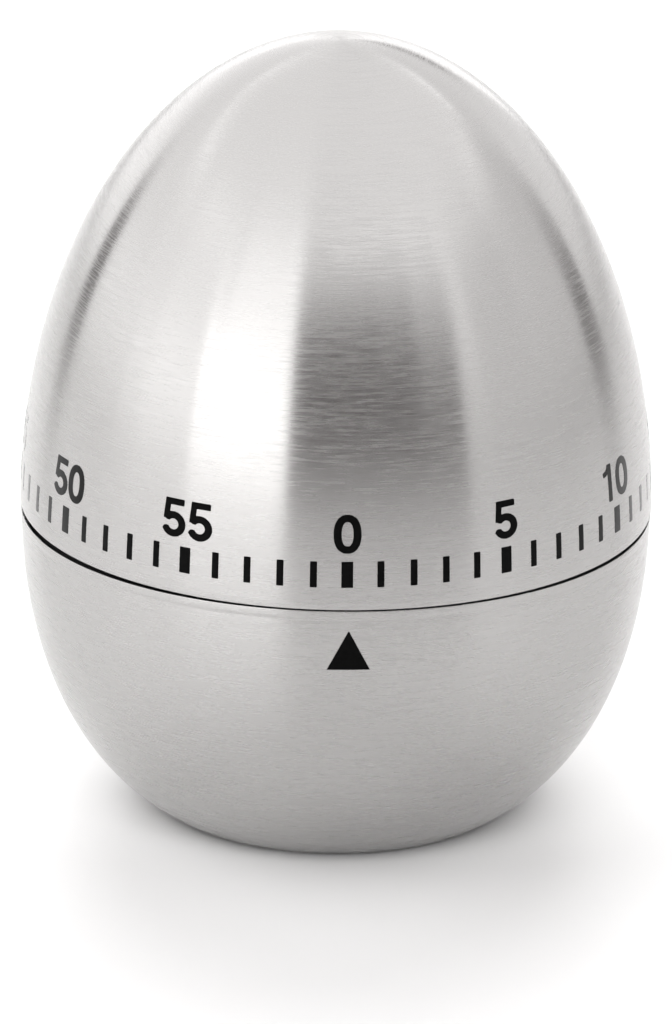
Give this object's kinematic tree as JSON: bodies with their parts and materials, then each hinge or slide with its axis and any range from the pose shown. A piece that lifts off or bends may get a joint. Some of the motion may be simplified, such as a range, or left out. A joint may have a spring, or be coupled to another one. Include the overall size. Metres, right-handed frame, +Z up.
{
  "type": "mechanical egg timer",
  "caption": "Egg-shaped wind-up kitchen timer: a brushed steel dome with a minute dial turns on a steel bowl that holds a clockwork movement and a bell.",
  "frame": {"origin": "centre of the circle on which the rubber foot ring rests", "axes": "+Z up along the axis the dome turns about, -Y towards the pointer, +X to the right seen from the pointer side"},
  "size_m": [0.06, 0.06, 0.0758],
  "materials": {
    "steel_shell": "satin, circumferential brushing",
    "black_plastic": "moulded, matt",
    "foot_rubber": "matt",
    "zinc_screws": "zinc plated",
    "bell_metal": "nickel plated",
    "plate_steel": "zinc plated sheet",
    "turned_steel": "turned, bright",
    "stamped_steel": "stamped, deburred",
    "brass": "satin",
    "nylon": "moulded, natural",
    "spring_steel": "blued"
  },
  "bodies": {
    "base": {"bottom_shell": "steel_shell", "base_cover": "black_plastic", "foot_ring": "foot_rubber", "base_screw_1": "zinc_screws", "base_screw_2": "zinc_screws", "base_screw_3": "zinc_screws", "housing": "black_plastic", "bell": "bell_metal", "bell_post": "turned_steel", "bell_screw": "zinc_screws", "lower_plate": "plate_steel", "upper_plate": "plate_steel", "pillar_1": "turned_steel", "pillar_2": "turned_steel", "pillar_3": "turned_steel", "pillar_screw_1": "zinc_screws", "pillar_screw_2": "zinc_screws", "pillar_screw_3": "zinc_screws", "plate_screw_1": "zinc_screws", "plate_screw_2": "zinc_screws", "plate_screw_3": "zinc_screws", "release_post": "turned_steel", "stop_post": "turned_steel", "spring_barrel": "plate_steel", "barrel_lid": "plate_steel", "mainspring": "spring_steel"},
    "dial": {"top_shell": "steel_shell", "dial_carrier": "black_plastic", "dial_screw": "zinc_screws", "main_arbor": "turned_steel", "great_wheel": "brass", "ratchet_wheel": "stamped_steel", "click_pawl": "stamped_steel", "click_rivet": "turned_steel", "release_cam": "stamped_steel", "stop_arm": "stamped_steel"},
    "second": {"second_arbor": "turned_steel", "second_wheel": "brass"},
    "third": {"third_arbor": "turned_steel", "third_wheel": "nylon"},
    "escape": {"escape_arbor": "turned_steel", "escape_wheel": "nylon"},
    "strike": {"strike_arbor": "turned_steel", "strike_star": "brass"},
    "pallet": {"pallet_lever": "brass", "pallet_arbor": "turned_steel", "balance": "brass"},
    "hammer": {"hammer_arbor": "turned_steel", "hammer_arm": "stamped_steel", "hammer_head": "turned_steel", "hammer_tail": "stamped_steel"},
    "release": {"release_lever": "stamped_steel"}
  },
  "joints": [
    {"name": "dial_turn", "type": "hinge", "parent": "base", "child": "dial", "pos_m": [0, 0, 0.018], "axis": [0, 0, -1], "range_deg": [0, 348]},
    {"name": "second_turn", "type": "hinge", "parent": "base", "child": "second", "pos_m": [0, 0.0144, 0.018], "axis": [0, 0, -1], "continuous": true},
    {"name": "third_turn", "type": "hinge", "parent": "base", "child": "third", "pos_m": [0.00981, 0.0116, 0.018], "axis": [0, 0, -1], "continuous": true},
    {"name": "escape_turn", "type": "hinge", "parent": "base", "child": "escape", "pos_m": [0.0146, 0.00402, 0.018], "axis": [0, 0, -1], "continuous": true},
    {"name": "strike_turn", "type": "hinge", "parent": "base", "child": "strike", "pos_m": [-0.0118, -0.00826, 0.018], "axis": [0, 0, -1], "continuous": true},
    {"name": "pallet_rock", "type": "hinge", "parent": "base", "child": "pallet", "pos_m": [0.0152, -0.0035, 0.018], "axis": [0, 0, -1], "range_deg": [-6, 6]},
    {"name": "hammer_swing", "type": "hinge", "parent": "base", "child": "hammer", "pos_m": [-0.0175, 0.001, 0.018], "axis": [0, 0, -1], "range_deg": [0, 9], "stiffness_Nm_per_rad": 0.0002},
    {"name": "release_swing", "type": "hinge", "parent": "base", "child": "release", "pos_m": [0.009, -0.0075, 0.018], "axis": [0, 0, 1], "range_deg": [0, 5], "stiffness_Nm_per_rad": 0.0002}
  ],
  "couplings": [
    {"joint": "second_turn", "follows": "dial_turn", "ratio": -8},
    {"joint": "third_turn", "follows": "dial_turn", "ratio": 60},
    {"joint": "escape_turn", "follows": "dial_turn", "ratio": -480},
    {"joint": "strike_turn", "follows": "dial_turn", "ratio": -8}
  ]
}
